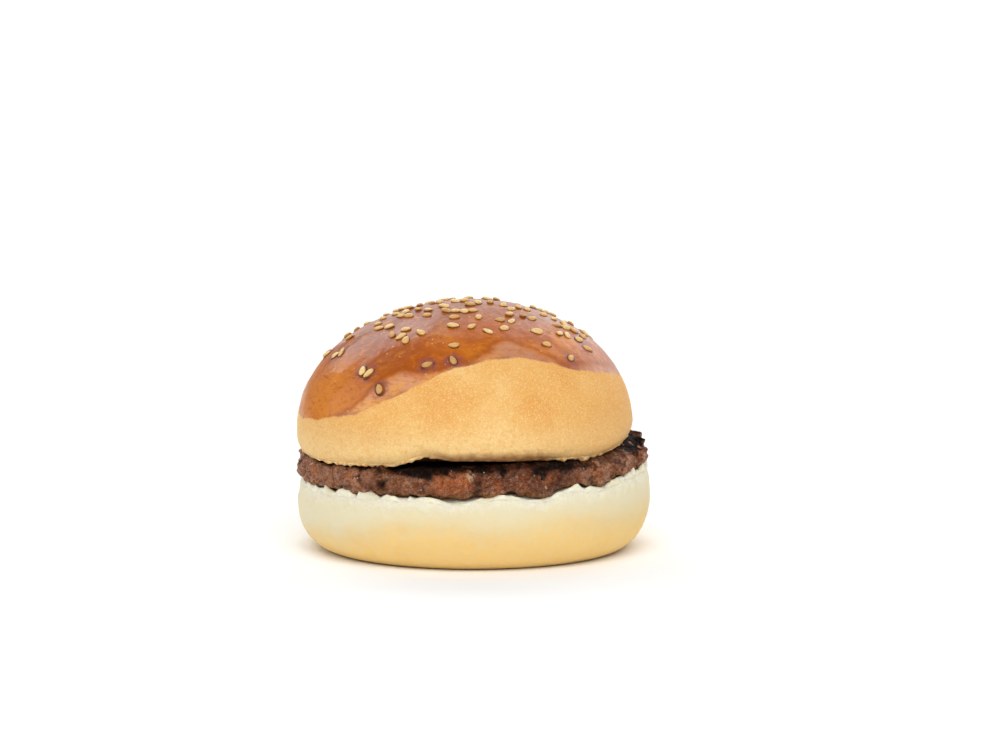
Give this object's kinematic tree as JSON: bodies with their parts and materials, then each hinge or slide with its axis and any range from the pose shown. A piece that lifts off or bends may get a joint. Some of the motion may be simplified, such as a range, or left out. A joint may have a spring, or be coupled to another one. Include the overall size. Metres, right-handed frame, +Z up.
{
  "type": "hamburger",
  "caption": "Plain hamburger: a glazed sesame seed bun, cut in two, with a craggy grilled beef patty between the halves.",
  "frame": {"origin": "on the surface that the heel stands on, under the middle of the object", "axes": "+Z up through the stack, -Y towards the front, +X to the right, the side on which the stack is a little higher"},
  "size_m": [0.1013, 0.1011, 0.0708],
  "materials": {
    "bun_heel": "matt pale bread crust, cream at the cut edge and golden towards the foot",
    "beef": "moist browned minced beef with charred crags",
    "bun_crown": "glossy egg-washed brown crust over a matt golden band",
    "sesame": "satin toasted sesame seed"
  },
  "bodies": {
    "root": {"bottom_bun": "bun_heel", "patty": "beef", "top_bun": "bun_crown"}
  },
  "joints": []
}
